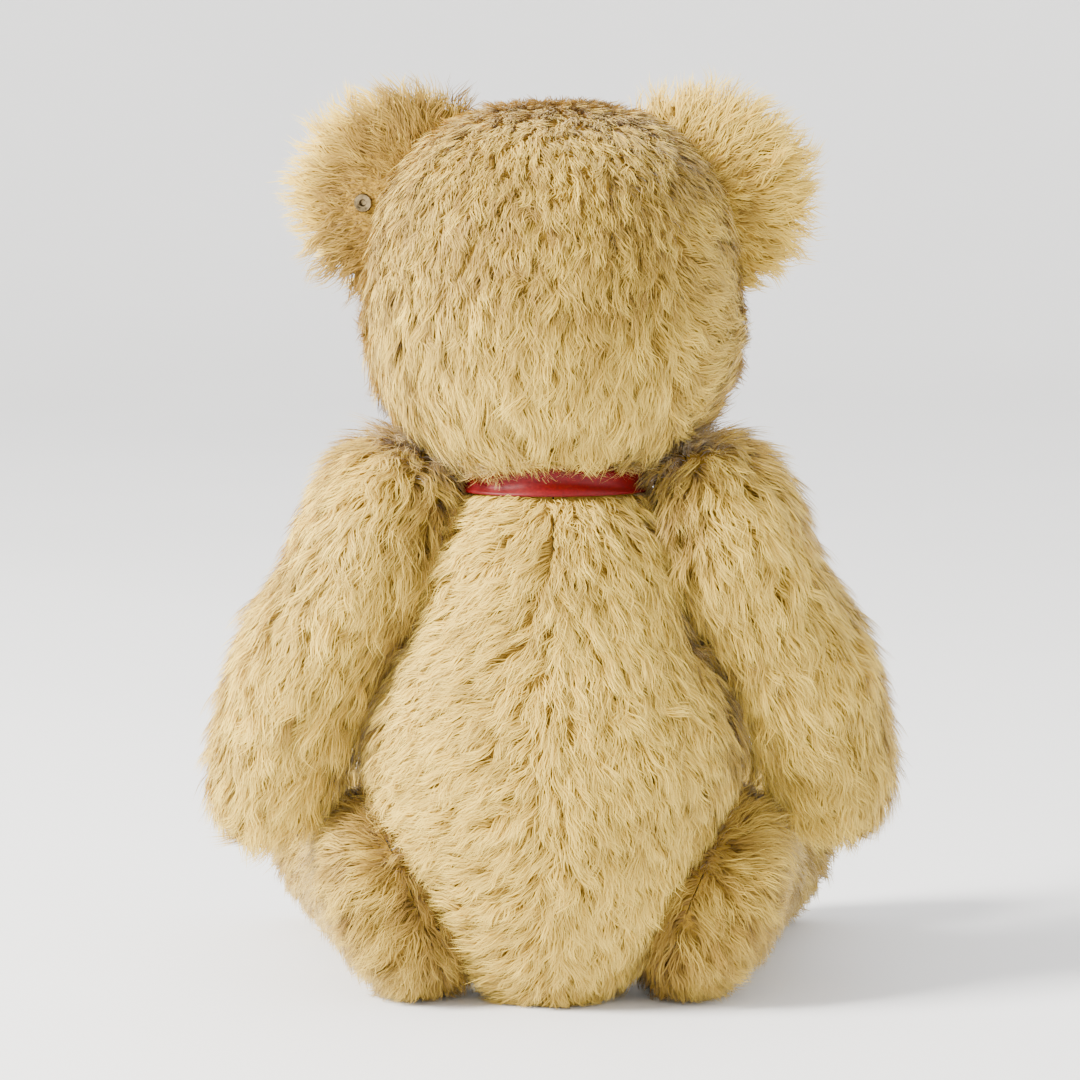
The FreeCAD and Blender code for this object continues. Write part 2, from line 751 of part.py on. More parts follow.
# The paw pad's outline: half length, half width, its middle along the arm and to its front.
PAW_PAD = (25, 13, 80, 8)
for limb, frames in (("arm", SHOULDER), ("leg", HIP)):
    for side, word in SIDE_NAMES.items():
        frame = frames[side]
        tag = f"{limb}_{word}"
        skin = limb_form(tag + "_skin", limb, side, 0)
        lining = limb_form(tag + "_lining", limb, side, -COVER)
        shell = cut(tag + "_shell", skin, lining)
        hole = rod(tag + "_hole", "sizes.pin_radius + 0.5", -1, DISC_FACE + 1)
        pierced = cut(tag + "_pierced", shell, hole)
        far_half = seam_wedge(tag + "_seam", side, limb, 3, len(STATIONS[limb]) - 2)
        if limb == "leg":
            sole = STATIONS[limb][-1][0]
            pad_zone = slab_across(tag + "_sole", side, sole - COVER, sole + 20)
            pad = common(tag + "_foot_pad", pierced, pad_zone)
            upper = cut(tag + "_upper", pierced, pad_zone)
            near = cut(tag + "_near", upper, far_half)
            far = common(tag + "_far", upper, far_half)
        else:
            near_all = cut(tag + "_near_all", pierced, far_half)
            far = common(tag + "_far", pierced, far_half)
            outline = doc.addObject("Part::Ellipse", tag + "_pad_outline")
            outline.MajorRadius, outline.MinorRadius = PAW_PAD[0], PAW_PAD[1]
            middle = Vector(PAW_PAD[3], side * PAW_PAD[2], -FAR / 6)
            outline.Placement = Placement(middle, Rotation(Vector(0, 0, 1), 90))
            pad_prism = prism(tag + "_pad_prism", outline, Vector(0, 0, 1), FAR / 2)
            pad = common(tag + "_paw_pad", near_all, pad_prism)
            near = cut(tag + "_near", near_all, pad_prism)
        finish(f"{tag}_cover_outer", far, frame)
        finish(f"{tag}_cover_inner", near, frame)
        finish(f"{tag}_pad", pad, frame)

        raised = limb_form(tag + "_raised", limb, side, size("stitch_height"))
        bars = claw_bars(tag + "_claw_bars", side, **CLAWS[limb])
        claw_blank = common(tag + "_claw_blank", raised, bars)
        finish(f"{tag}_claws", cut(tag + "_claws", claw_blank, skin), frame, solids=4)

        core = limb_form(tag + "_core", limb, side, -FILLING)
        radius = f"{limb}_disc_radius"
        pocket = stack_pocket(tag + "_pocket", Placement(), radius, 1, EYE_TOP)
        finish(f"{tag}_filling", cut(tag + "_filling", core, pocket), frame)
        disc(f"{tag}_disc", shifted(frame, DISC_FACE), radius)
        ring_label = f"{tag}_washer"
        finish(ring_label, washer(ring_label + "_ring", shifted(frame, WASHER_FACE)))
        split_pin(f"{tag}_pin", frame)


# ---------------------------------------------------------------- ribbon
RIBBON = size("ribbon_thickness")
RIBBON_W = size("ribbon_width")


def ribbon_cone(name, grow):
    """A solid that narrows upwards like the neck does, grow larger all round."""
    sections = []
    for number, share in enumerate((0, 1)):
        reach = size("neck_ribbon_radius") - share * size("neck_ribbon_narrowing") + grow
        ellipse = doc.addObject("Part::Ellipse", f"{name}_section{number}")
        ellipse.MajorRadius = reach
        ellipse.MinorRadius = reach - 1
        height = size("neck_ribbon_bottom") + share * (RIBBON_W - 1)
        ellipse.Placement = Placement(Vector(0, 0.5, height), Rotation())
        sections.append(ellipse)
    return loft(name, sections)


band = cut("neck_band", ribbon_cone("neck_band_outside", RIBBON), ribbon_cone("neck_band_inside", 0))
finish("neck_ribbon", band)

bow_parts = []
bow_y = -size("bow_front")
knot_half = size("knot_half_width")
knot = block(
    "bow_knot",
    (-knot_half, bow_y - 4, size("bow_height") - 6),
    (knot_half, bow_y + 12, size("bow_height") + 3),
)
knot_round = doc.addObject("Part::Fillet", "bow_knot_round")
knot_round.Base = knot
knot_round.Edges = [(number, 2.2, 2.2) for number in range(1, 13)]
bow_parts.append(knot_round)
for side, word in SIDE_NAMES.items():
    reach = (size(f"bow_reach_{word}") - 2) / 2 / math.cos(math.radians(size("bow_lift")))
    lean = Rotation(Vector(0, 1, 0), -side * size("bow_lift"))
    start = Placement(Vector(side * 2, bow_y, size("bow_height")), lean)
    centre = start.multiply(Placement(Vector(side * reach, 0, -RIBBON_W / 2), Rotation()))
    walls = []
    for number, thickness in enumerate((0, RIBBON)):
        oval = doc.addObject("Part::Ellipse", f"bow_loop_{word}_oval{number}")
        oval.MajorRadius = reach - thickness
        oval.MinorRadius = size("bow_loop_half_depth") - thickness
        oval.Placement = centre
        upward = lean.multVec(Vector(0, 0, 1))
        walls.append(prism(f"bow_loop_{word}_wall{number}", oval, upward, RIBBON_W))
    bow_parts.append(cut(f"bow_loop_{word}", walls[0], walls[1]))
    hang = Rotation(Vector(1, 0, 0), -3).multiply(Rotation(Vector(0, 1, 0), side * 16))
    tail_top = Placement(Vector(side * 3, bow_y + 2.5, size("bow_height") - 3), hang)
    tail = block(
        f"bow_tail_{word}",
        (-RIBBON_W / 2, -RIBBON / 2, -size("bow_tail_length")),
        (RIBBON_W / 2, RIBBON / 2, 0),
        tail_top,
    )
    bow_parts.append(tail)
finish("ribbon_bow", join("ribbon_bow_solid", bow_parts))

# ---------------------------------------------------------------- checks and export
doc.recompute()
for item in doc.Objects:
    if "Invalid" in item.State or "Error" in item.State:
        raise SystemExit(f"{item.Name} did not compute: {item.State}")
labels = [item.Label for item, _ in finished]
if len(set(labels)) != len(labels):
    raise SystemExit("two pieces share a name")
for item, solids in finished:
    shape = item.Shape
    if shape.isNull() or not shape.isValid() or len(shape.Solids) != solids:
        raise SystemExit(f"{item.Label}: {len(shape.Solids)} solids, valid {shape.isValid()}")
    shape.exportStep(f"parts/{item.Label}.step")
print(len(finished), "pieces written")
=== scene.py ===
"""The looks of a jointed mohair bear: furred covers, ribbon, embroidery, stage and camera."""

import json
import math

import bpy
import numpy as np
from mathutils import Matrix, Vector
from mathutils.bvhtree import BVHTree
from mathutils.kdtree import KDTree


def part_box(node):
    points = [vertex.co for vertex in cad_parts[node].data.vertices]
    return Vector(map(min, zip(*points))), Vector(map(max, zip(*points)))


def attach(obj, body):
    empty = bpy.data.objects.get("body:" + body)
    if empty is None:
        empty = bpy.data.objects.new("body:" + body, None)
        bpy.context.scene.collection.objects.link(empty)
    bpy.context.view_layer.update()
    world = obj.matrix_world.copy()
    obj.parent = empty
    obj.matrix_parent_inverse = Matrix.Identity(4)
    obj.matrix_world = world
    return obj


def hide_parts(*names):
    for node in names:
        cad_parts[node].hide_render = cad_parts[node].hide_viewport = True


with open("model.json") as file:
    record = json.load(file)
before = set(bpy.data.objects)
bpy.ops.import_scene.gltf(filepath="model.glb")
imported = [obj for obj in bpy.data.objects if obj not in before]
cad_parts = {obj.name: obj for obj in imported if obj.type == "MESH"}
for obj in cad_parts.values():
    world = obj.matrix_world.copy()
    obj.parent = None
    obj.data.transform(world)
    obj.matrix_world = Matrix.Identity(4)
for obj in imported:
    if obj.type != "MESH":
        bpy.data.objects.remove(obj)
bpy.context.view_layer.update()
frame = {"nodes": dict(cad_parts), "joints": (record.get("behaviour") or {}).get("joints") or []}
NODES = frame["nodes"]
RNG = np.random.default_rng(11)
MM = 0.001
SIDES = (("left", 1), ("right", -1))
LIMBS = ("arm_left", "arm_right", "leg_left", "leg_right")
HEAD_CENTRE, HEAD_HALF = np.array((0, -5, 203)) * MM, np.array((50.5, 47, 51)) * MM
EYE_AT = np.array((20, -48, 211)) * MM  # the left eye; the right one mirrors it
NOSE_AT, NOSE_HALF = np.array((0, 199)) * MM, np.array((9, 6)) * MM  # x and z
EAR_CUP, EAR_ROOT = np.array((44.64, -41, 230.05)), np.array((33, -4, 224))
CUP_RADIUS, PANEL = 42, 2  # of an ear, in mm
RIBBON = 11 * MM
STRAND_UV = 0.006  # half a strand's width in the colour map, so that it covers some of the map
PIECE_TRIANGLES = 190000  # the most a piece of fur may have
JOINTS = {joint["child"]: joint for joint in frame["joints"]}


# ---------------------------------------------------------------- vectors
def unit(vectors):
    lengths = np.linalg.norm(vectors, axis=-1, keepdims=True)
    return vectors / np.maximum(lengths, 1e-12)


def along_surface(vectors, normals):
    """The vectors laid flat on a surface."""
    inward = (vectors * normals).sum(-1, keepdims=True)
    return unit(vectors - inward * normals)


def ramp(values, low, high):
    """0 up to low, 1 from high on, smooth between."""
    share = np.clip((values - low) / (high - low), 0, 1)
    return share * share * (3 - 2 * share)


BUMPS_PEAK = 3.2  # what five added waves seldom pass


def bumps(points, size, seed):
    """A smooth uneven field from -1 to 1 over the points, its waves about size long."""
    draw = np.random.default_rng(seed)
    total = np.zeros(len(points))
    for octave in range(5):
        direction = unit(draw.normal(size=3)) * 2 * math.pi / (size * draw.uniform(0.6, 1.5))
        total += np.sin(points @ direction + draw.uniform(0, 2 * math.pi))
    return total / BUMPS_PEAK


# ---------------------------------------------------------------- meshes
def welded(node):
    """A CAD node's points and triangles, with no doubled points."""
    mesh = NODES[node].data
    points = np.empty(len(mesh.vertices) * 3)
    mesh.vertices.foreach_get("co", points)
    points = points.reshape(-1, 3)
    mesh.calc_loop_triangles()
    corners = np.empty(len(mesh.loop_triangles) * 3, np.int64)
    mesh.loop_triangles.foreach_get("vertices", corners)
    rounded = np.round(points / 2e-6).astype(np.int64)
    _, first, inverse = np.unique(rounded, axis=0, return_index=True, return_inverse=True)
    triangles = inverse.reshape(-1)[corners].reshape(-1, 3)
    a, b, c = triangles.T
    return points[first], triangles[(a != b) & (b != c) & (a != c)]


def smooth_normals(points, triangles):
    a, b, c = (points[triangles[:, k]] for k in range(3))
    facing = np.cross(b - a, c - a)
    normals = np.zeros_like(points)
    for k in range(3):
        np.add.at(normals, triangles[:, k], facing)
    return unit(normals), facing


def new_piece(name, points, faces, body, material, smooth=True):
    """A mesh object in the row frame that moves with a body."""
    mesh = bpy.data.meshes.new(name)
    mesh.from_pydata([tuple(p) for p in points], [], [tuple(f) for f in faces])
    return finish_piece(name, mesh, body, material, smooth)


def finish_piece(name, mesh, body, material, smooth=True):
    mesh.materials.append(material)
    mesh.polygons.foreach_set("use_smooth", [smooth] * len(mesh.polygons))
    mesh.update()
    piece = bpy.data.objects.new(name, mesh)
    bpy.context.scene.collection.objects.link(piece)
    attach(piece, body)
    return piece


def tube(path, radius, sides=6):
    """Points and faces of a thin closed tube along a path."""
    path = np.asarray(path, float)
    tangents = unit(np.gradient(path, axis=0))
    helper = np.array((0.31, 0.17, 0.93))
    across = unit(np.cross(tangents, helper))
    up = np.cross(tangents, across)
    points = []
    for k, angle in enumerate(np.arange(sides) * 2 * math.pi / sides):
        points.append(path + radius * (math.cos(angle) * across + math.sin(angle) * up))
    points = np.stack(points, 1).reshape(-1, 3)
    faces = []
    rings = len(path)
    for ring in range(rings - 1):
        for k in range(sides):
            nxt = (k + 1) % sides
            low, high = ring * sides, (ring + 1) * sides
            faces.append((low + k, low + nxt, high + nxt, high + k))
    faces.append(tuple(range(sides))[::-1])
    faces.append(tuple((rings - 1) * sides + k for k in range(sides)))
    return points, faces


def tubes(paths, radius):
    """Several tubes in one list of points and faces."""
    points, faces, count = [], [], 0
    for path in paths:
        more, sides = tube(path, radius)
        points.append(more)
        faces += [tuple(k + count for k in face) for face in sides]
        count += len(more)
    return np.concatenate(points), faces


# ---------------------------------------------------------------- materials
def nodes_of(name):
    material = bpy.data.materials.new(name)
    material.use_nodes = True
    tree = material.node_tree
    return material, tree, tree.nodes["Principled BSDF"]


def shade_ramp(tree, source, stops):
    shades = tree.nodes.new("ShaderNodeValToRGB")
    while len(shades.color_ramp.elements) < len(stops):
        shades.color_ramp.elements.new(0.5)
    for element, (place, colour) in zip(shades.color_ramp.elements, stops):
        element.position = place
        element.color = (*colour, 1)
    tree.links.new(source, shades.inputs["Fac"])
    return shades.outputs["Color"]


def plain_material(name, stops, size, rough, bump=0.0, kind="noise", **settings):
    """Colours that follow a noise or bands of about size metres, with a bump of the same grain."""
    material, tree, shader = nodes_of(name)
    place = tree.nodes.new("ShaderNodeTexCoord")
    if kind == "bands":
        grain = tree.nodes.new("ShaderNodeTexWave")
        grain.inputs["Distortion"].default_value = 2.5
        grain.inputs["Detail"].default_value = 2
        grain.inputs["Scale"].default_value = 0.31 / size
    else:
        grain = tree.nodes.new("ShaderNodeTexNoise")
        grain.inputs["Scale"].default_value = 1 / size
        grain.inputs["Detail"].default_value = 4
    tree.links.new(place.outputs["Object"], grain.inputs["Vector"])
    value = grain.outputs["Fac"]
    tree.links.new(shade_ramp(tree, value, stops), shader.inputs["Base Color"])
    spread = tree.nodes.new("ShaderNodeMapRange")
    spread.inputs["To Min"].default_value = rough[0]
    spread.inputs["To Max"].default_value = rough[1]
    tree.links.new(value, spread.inputs["Value"])
    tree.links.new(spread.outputs["Result"], shader.inputs["Roughness"])
    if bump:
        relief = tree.nodes.new("ShaderNodeBump")
        relief.inputs["Strength"].default_value = bump
        relief.inputs["Distance"].default_value = size
        tree.links.new(value, relief.inputs["Height"])
        tree.links.new(relief.outputs["Normal"], shader.inputs["Normal"])
    for socket, setting in settings.items():
        shader.inputs[socket.replace("_", " ")].default_value = setting
    return material


GOLDEN_LOCK = ((0, (0.13, 0.062, 0.003)), (0.45, (0.21, 0.11, 0.006)), (1, (0.31, 0.18, 0.014)))
PALE_LOCK = ((0, (0.43, 0.245, 0.020)), (0.4, (0.66, 0.42, 0.042)), (1, (0.88, 0.645, 0.115)))


def mohair_material():
    """Along a lock from root to tip (v), from golden brown locks to pale ones (u)."""
    material, tree, shader = nodes_of("mohair")
    layer = tree.nodes.new("ShaderNodeUVMap")
    layer.uv_map = "OFBake"
    split = tree.nodes.new("ShaderNodeSeparateXYZ")
    tree.links.new(layer.outputs["UV"], split.inputs["Vector"])
    mix = tree.nodes.new("ShaderNodeMix")
    mix.data_type = "RGBA"
    tree.links.new(split.outputs["X"], mix.inputs["Factor"])
    tree.links.new(shade_ramp(tree, split.outputs["Y"], GOLDEN_LOCK), mix.inputs["A"])
    tree.links.new(shade_ramp(tree, split.outputs["Y"], PALE_LOCK), mix.inputs["B"])
    tree.links.new(mix.outputs["Result"], shader.inputs["Base Color"])
    shader.inputs["Roughness"].default_value = 0.62
    shader.inputs["Specular IOR Level"].default_value = 0.3
    shader.inputs["Sheen Weight"].default_value = 0.25
    shader.inputs["Sheen Roughness"].default_value = 0.5
    return material


MOHAIR = mohair_material()
BACKING = plain_material(
    "backing_cloth", ((0.3, (0.28, 0.15, 0.008)), (0.7, (0.38, 0.22, 0.014))), 0.0012, (0.8, 0.95), 0.4
)
WOOD_WOOL = plain_material(
    "wood_wool", ((0.3, (0.40, 0.30, 0.15)), (0.7, (0.66, 0.55, 0.36))), 0.003, (0.7, 0.9), 0.6, "bands"
)
FELT = plain_material(
    "felt", ((0.3, (0.44, 0.31, 0.155)), (0.7, (0.56, 0.42, 0.24))), 0.0009, (0.85, 0.97), 0.35
)
HARDBOARD = plain_material(
    "hardboard", ((0.3, (0.17, 0.10, 0.05)), (0.7, (0.30, 0.19, 0.10))), 0.0015, (0.6, 0.8), 0.2
)
STEEL = plain_material(
    "steel", ((0.3, (0.42, 0.42, 0.41)), (0.7, (0.62, 0.62, 0.60))), 0.004, (0.25, 0.45), Metallic=1.0
)
STUD = plain_material(
    "stud_metal", ((0.35, (0.07, 0.05, 0.025)), (0.7, (0.30, 0.22, 0.11))), 0.0015, (0.25, 0.5), 0.1,
    Metallic=1.0,
)
EYE = plain_material(
    "eye_glass", ((0.3, (0.006, 0.004, 0.003)), (0.7, (0.016, 0.010, 0.006))), 0.003, (0.04, 0.08)
)
THREAD = plain_material(
    "thread", ((0.3, (0.022, 0.012, 0.008)), (0.7, (0.055, 0.030, 0.018))), 0.0006, (0.5, 0.7), 0.5,
    "bands",
)
SATIN = plain_material(
    "satin", ((0.3, (0.085, 0.0004, 0.0012)), (0.7, (0.15, 0.0008, 0.0022))), 0.0008,
    (0.42, 0.52), 0.04, Specular_IOR_Level=0.2,
)
KEPT = (
    ("disc", HARDBOARD),
    ("washer", STEEL),
    ("_pin", STEEL),
    ("eye_", EYE),
    ("ear_stud", STUD),
)
for node, cad in NODES.items():
    for part_of_name, material in KEPT:
        if part_of_name in node:
            cad.data.materials.clear()
            cad.data.materials.append(material)


# ---------------------------------------------------------------- stuffed cloth
def body_of(node):
    for body in (*LIMBS, "head", "torso"):
        if node.startswith(body):
            return body
    return "head" if node.startswith(("ear", "eye", "nose", "mouth")) else "torso"


def stuffed_copy(node, name, material, wrinkle, size):
    """The CAD node's shape with its surface pulled in unevenly, as stuffed cloth is."""
    points, triangles = welded(node)
    normals, _ = smooth_normals(points, triangles)
    seed = len(name)
    uneven = 0.5 + 0.5 * bumps(points, size, seed)
    puckers = 0.5 + 0.5 * bumps(points, size / 4, seed + 50)
    pulled = points - normals * (wrinkle * (0.7 * uneven + 0.3 * puckers))[:, None]
    piece = new_piece(name, pulled, triangles, body_of(node), material)
    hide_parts(node)
    return piece


for node in sorted(NODES):
    if "cover" in node or node == "head_gusset" or node.endswith(("front", "back")):
        stuffed_copy(node, node + "_cloth", BACKING, 0.4 * MM, 12 * MM)
for node in sorted(NODES):
    if node.endswith("_filling"):
        stuffed_copy(node, node + "_strands", WOOD_WOOL, 0.25 * MM, 6 * MM)
    if node.endswith("_pad"):
        stuffed_copy(node, node + "_felt", FELT, 0.3 * MM, 8 * MM)


# ---------------------------------------------------------------- fur
BACKING_GAP = 1.2 * MM  # a cover's outer surface is further from its filling than this
SNOUT_Y, SNOUT_Z = -62 * MM, 160 * MM  # the muzzle's front lies before and above these
DISC_SEAT = 22 * MM  # radius of the torso's bare patch at each limb


def fur_ground(node):
    """A cover's points and those of its triangles that face out and aren't hidden in a joint."""
    points, triangles = welded(node)
    filling, filling_triangles = welded(body_of(node) + "_filling")
    tree = BVHTree.FromPolygons(filling.tolist(), filling_triangles.tolist())
    middles = points[triangles].mean(1)
    _, facing = smooth_normals(points, triangles)
    away = middles - np.array([tree.find_nearest(Vector(m))[0] for m in middles])
    gaps = np.linalg.norm(away, axis=1)
    outward = (away * unit(facing)).sum(1) > 0.3 * gaps
    keep = outward & (gaps > BACKING_GAP)
    snout_front = (middles[:, 1] < SNOUT_Y) & (unit(facing)[:, 1] < -0.3)
    keep |= snout_front & (middles[:, 2] > SNOUT_Z)
    body = body_of(node)
    for limb in LIMBS:
        joint = JOINTS[limb]
        axis = np.array(joint["axis"])
        axis *= np.sign(axis[0]) * (1 if "left" in limb else -1)
        height = (middles - np.array(joint["pos_m"])) @ axis
        radial = np.linalg.norm(middles - np.array(joint["pos_m"]) - height[:, None] * axis, axis=1)
        if body == limb:
            keep &= height > 0.8 * MM
        if body == "torso":
            keep &= ~((abs(height) < 0.6 * MM) & (radial < DISC_SEAT))
    return points, triangles[keep]


def scatter(points, triangles, per_mm2):
    """Random roots on the triangles, about per_mm2 on each square millimetre."""
    normals, facing = smooth_normals(points, triangles)
    areas = np.linalg.norm(facing, axis=1) / 2
    count = int(areas.sum() / MM**2 * per_mm2)
    chosen = RNG.choice(len(triangles), count, p=areas / areas.sum())
    r1, r2 = np.sqrt(RNG.random(count)), RNG.random(count)
    shares = np.stack((1 - r1, r1 * (1 - r2), r1 * r2), 1)[:, :, None]
    roots = (points[triangles[chosen]] * shares).sum(1)
    return roots, unit((normals[triangles[chosen]] * shares).sum(1))


def turned_about(vectors, axes, angles):
    c, s = np.cos(angles)[:, None], np.sin(angles)[:, None]
    return vectors * c + np.cross(axes, vectors) * s


def grow(name, ground, body, comb, length, tint, density=2.5, spacing=2.9, lift=0.62, waves=0.9,
         clump=0.62, width=0.3, joints=4, swirl=15):
    """Grows clumped, wavy locks on a ground. comb, length and tint are functions of the roots.

    density is strands per square mm, spacing the mm between locks, lift how steeply a lock rises,
    waves its waviness, clump how far strands close up towards the lock's middle, width a strand's
    in mm, joints its number of steps, and swirl how many degrees locks stray from the comb.
    """
    roots, normals = scatter(*ground, density)
    lengths = length(roots, normals)
    keep = lengths > 0.2
    roots, normals, lengths = roots[keep], normals[keep], lengths[keep]
    seeds, seed_normals = scatter(*ground, 1 / spacing**2)
    lookup = KDTree(len(seeds))
    for number, seed in enumerate(seeds):
        lookup.insert(seed, number)
    lookup.balance()
    lock = np.array([lookup.find(r)[1] for r in roots])
    seed_comb = along_surface(comb(seeds, seed_normals), seed_normals)
    angles = np.radians(swirl) * RNG.normal(size=len(seeds))
    seed_comb = turned_about(seed_comb, seed_normals, angles)
    seed_scale = RNG.uniform(0.78, 1.18, len(seeds))
    seed_phase = RNG.uniform(0, 2 * math.pi, len(seeds))
    seed_turns = RNG.uniform(0.7, 1.25, len(seeds))
    seed_lift = RNG.uniform(0.65, 1.25, len(seeds))
    seed_tint = RNG.normal(0, 0.17, len(seeds))

    number = len(roots)
    t = np.linspace(0, 1, joints + 1)[None, :, None]
    combed = along_surface(seed_comb[lock], normals)
    combed = turned_about(combed, normals, RNG.normal(0, 0.12, number))
    side = np.cross(normals, combed)
    size = lengths * MM * seed_scale[lock] * RNG.uniform(0.8, 1.1, number)
    size = size[:, None, None]
    rise = (lift * seed_lift[lock] * RNG.uniform(0.85, 1.15, number))[:, None, None]
    height = size * rise * (t - 0.42 * t * t)
    run = size * (0.42 * t + 0.42 * t * t)
    paths = roots[:, None] + height * normals[:, None] + run * combed[:, None]
    phase = seed_phase[lock] + RNG.normal(0, 0.35, number)
    curl = np.sin(2 * math.pi * seed_turns[lock][:, None, None] * t + phase[:, None, None])
    curl -= np.sin(phase)[:, None, None]
    swing = waves * 0.105 * size * curl * np.sqrt(t)
    paths += swing * side[:, None]
    paths += 0.4 * swing * normals[:, None] * np.cos(phase)[:, None, None]
    pull = clump * RNG.uniform(0.1, 1.0, number)[:, None, None]
    paths += (seeds[lock] - roots)[:, None] * (pull * t**1.25)
    paths += RNG.normal(0, 0.45 * MM, (number, 1, 3)) * t
    paths[:, :, 2] = np.maximum(paths[:, :, 2], 0.4 * MM)

    tangents = unit(np.gradient(paths, axis=1))
    lean = RNG.normal(0, 0.45, number)
    flat = np.cross(tangents, normals[:, None])
    upright = np.cross(tangents, flat)
    across = unit(flat) * np.cos(lean)[:, None, None] + unit(upright) * np.sin(lean)[:, None, None]
    taper = width * MM / 2 * (1 - 0.75 * t[:, :-1] ** 2) * RNG.uniform(0.7, 1.25, number)[:, None, None]
    facing = np.cross(tangents, across)
    flip = np.sign((facing * normals[:, None]).sum((1, 2)))[:, None, None]
    across, facing = across * flip, facing * flip
    left = paths[:, :-1] + taper * across[:, :-1]
    right = paths[:, :-1] - taper * across[:, :-1]
    rows = np.stack((left, right), 2).reshape(number, -1, 3)
    verts = np.concatenate((rows, paths[:, -1:]), 1)
    soft = unit(facing + 0.5 * normals[:, None])
    soft_rows = np.repeat(soft[:, :-1], 2, 1)
    soft_verts = np.concatenate((soft_rows, soft[:, -1:]), 1)
    shade = np.clip(tint(roots, normals) + seed_tint[lock] + RNG.normal(0, 0.07, number), 0.02, 0.98)
    along = np.concatenate((np.repeat(t[0, :-1, 0], 2), (1.0,)))

    quads = []
    for k in range(joints - 1):
        quads.append((2 * k, 2 * k + 1, 2 * k + 3, 2 * k + 2))
    corners = np.array([c for q in quads for c in q] + [2 * joints - 2, 2 * joints - 1, 2 * joints])
    sizes = [4] * len(quads) + [3]
    limit = PIECE_TRIANGLES // (2 * (joints - 1) + 1)
    for part, start in enumerate(range(0, number, limit)):
        some = slice(start, start + limit)
        strand_mesh(
            f"{name}_{part + 1}", verts[some], soft_verts[some], shade[some], along, corners, sizes, body
        )


def strand_mesh(name, verts, normals, shade, along, corners, sizes, body):
    """One piece of fur from its strands' points. corners and sizes describe one strand's faces."""
    count, step = verts.shape[:2]
    mesh = bpy.data.meshes.new(name)
    loops = (corners[None] + step * np.arange(count)[:, None]).reshape(-1).astype(np.int32)
    totals = np.tile(np.array(sizes, np.int32), count)
    starts = np.concatenate(((0,), np.cumsum(totals)[:-1])).astype(np.int32)
    mesh.vertices.add(count * step)
    mesh.vertices.foreach_set("co", verts.astype(np.float32).ravel())
    mesh.loops.add(len(loops))
    mesh.loops.foreach_set("vertex_index", loops)
    mesh.polygons.add(len(totals))
    mesh.polygons.foreach_set("loop_start", starts)
    layer = mesh.uv_layers.new(name="OFBake")
    uv = np.empty((len(loops), 2), np.float32)
    spread = np.where(corners == step - 1, 0, np.where(corners % 2, 1, -1)) * STRAND_UV
    uv[:, 0] = np.repeat(shade, len(corners)) + np.tile(spread, count)
    uv[:, 1] = np.tile(0.02 + 0.96 * along[corners], count)
    layer.data.foreach_set("uv", uv.ravel())
    mesh.update(calc_edges=True)
    mesh.polygons.foreach_set("use_smooth", [True] * len(totals))
    mesh.normals_split_custom_set_from_vertices(normals.reshape(-1, 3).astype(np.float32))
    mesh.materials.append(MOHAIR)
    piece = bpy.data.objects.new(name, mesh)
    bpy.context.scene.collection.objects.link(piece)
    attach(piece, body)


def constant(value):
    return lambda roots, normals: np.full(len(roots), float(value))


# Torso: locks part at the seam down the back; on the left side they run out, on the right down.
def torso_comb(roots, normals):
    x, y, _ = roots.T
    back = ramp(y, -5 * MM, 15 * MM)
    left = ramp(x, -8 * MM, 8 * MM)
    away = np.tanh(x / (9 * MM)) * (0.3 + 0.8 * left * back)
    down = -1 + 0.45 * left * back * np.tanh(abs(x) / (9 * MM))
    return np.stack((away, 0.12 * np.ones_like(x), down), 1)


def torso_length(roots, normals):
    x, _, z = roots.T
    length = 10.5 - 3.5 * ramp(z, 132 * MM, 146 * MM)
    return length * (z < 146.5 * MM)


def torso_tint(roots, normals):
    x, _, z = roots.T
    # Painted shade: the fur turns golden and darker in the creases beside the arms and thighs, where
    # shade falls.
    fold_shade = ramp(abs(x), 25 * MM, 37 * MM) * ramp(z, 85 * MM, 110 * MM)
    fold_shade += ramp(abs(x), 38 * MM, 48 * MM) * ramp(z, 50 * MM, 80 * MM)
    shade = 0.84 - 0.5 * np.minimum(fold_shade, 1)
    # Painted shade: darker towards the bottom, where the torso sits on the floor.
    shade -= 0.25 * (1 - ramp(z, 0, 25 * MM))
    return shade + 0.16 * bumps(roots, 30 * MM, 3)


for word, _ in SIDES:
    ground = fur_ground(f"torso_cover_{word}")
    grow(f"fur_torso_{word}", ground, "torso", torso_comb, torso_length, torso_tint)


# Head: locks fall from the crown, run back from the nose on the face and stand short on top.
def head_comb(roots, normals):
    x, y, z = roots.T
    fall = np.stack((0.4 * x / (50 * MM), np.full_like(x, 0.5), -np.ones_like(x)), 1)
    fringe = ramp(-x, 28 * MM, 40 * MM) * ramp(y, -20 * MM, 0)
    fall += fringe[:, None] * np.array((-1.6, 0.2, 0.7))
    swept = np.stack((1.2 * x / (25 * MM), np.ones_like(x), 0.4 * np.ones_like(x)), 1)
    face = ramp(-y, 0, 26 * MM)[:, None]
    return unit(fall) * (1 - face) + unit(swept) * face


def head_length(roots, normals):
    x, y, z = roots.T
    length = 7.2 + 4.8 * (1 - ramp(z, 185 * MM, 225 * MM))
    length += 3.5 * (1 - ramp(z, 162 * MM, 176 * MM)) * ramp(x, 4 * MM, 14 * MM) * ramp(y, 0, 15 * MM)
    muzzle = ramp(-y, 40 * MM, 62 * MM)
    length = length * (1 - muzzle) + 4.0 * muzzle
    for _, side in SIDES:
        eye = np.linalg.norm(roots - EYE_AT * (side, 1, 1), axis=1)
        length *= 0.25 + 0.75 * ramp(eye, 5 * MM, 12 * MM)
        length *= eye > 5.2 * MM
    nose = np.hypot(x / (10.2 * MM), (z - NOSE_AT[1]) / (7.2 * MM))
    length *= ~((nose < 1) & (y < -60 * MM))
    return length


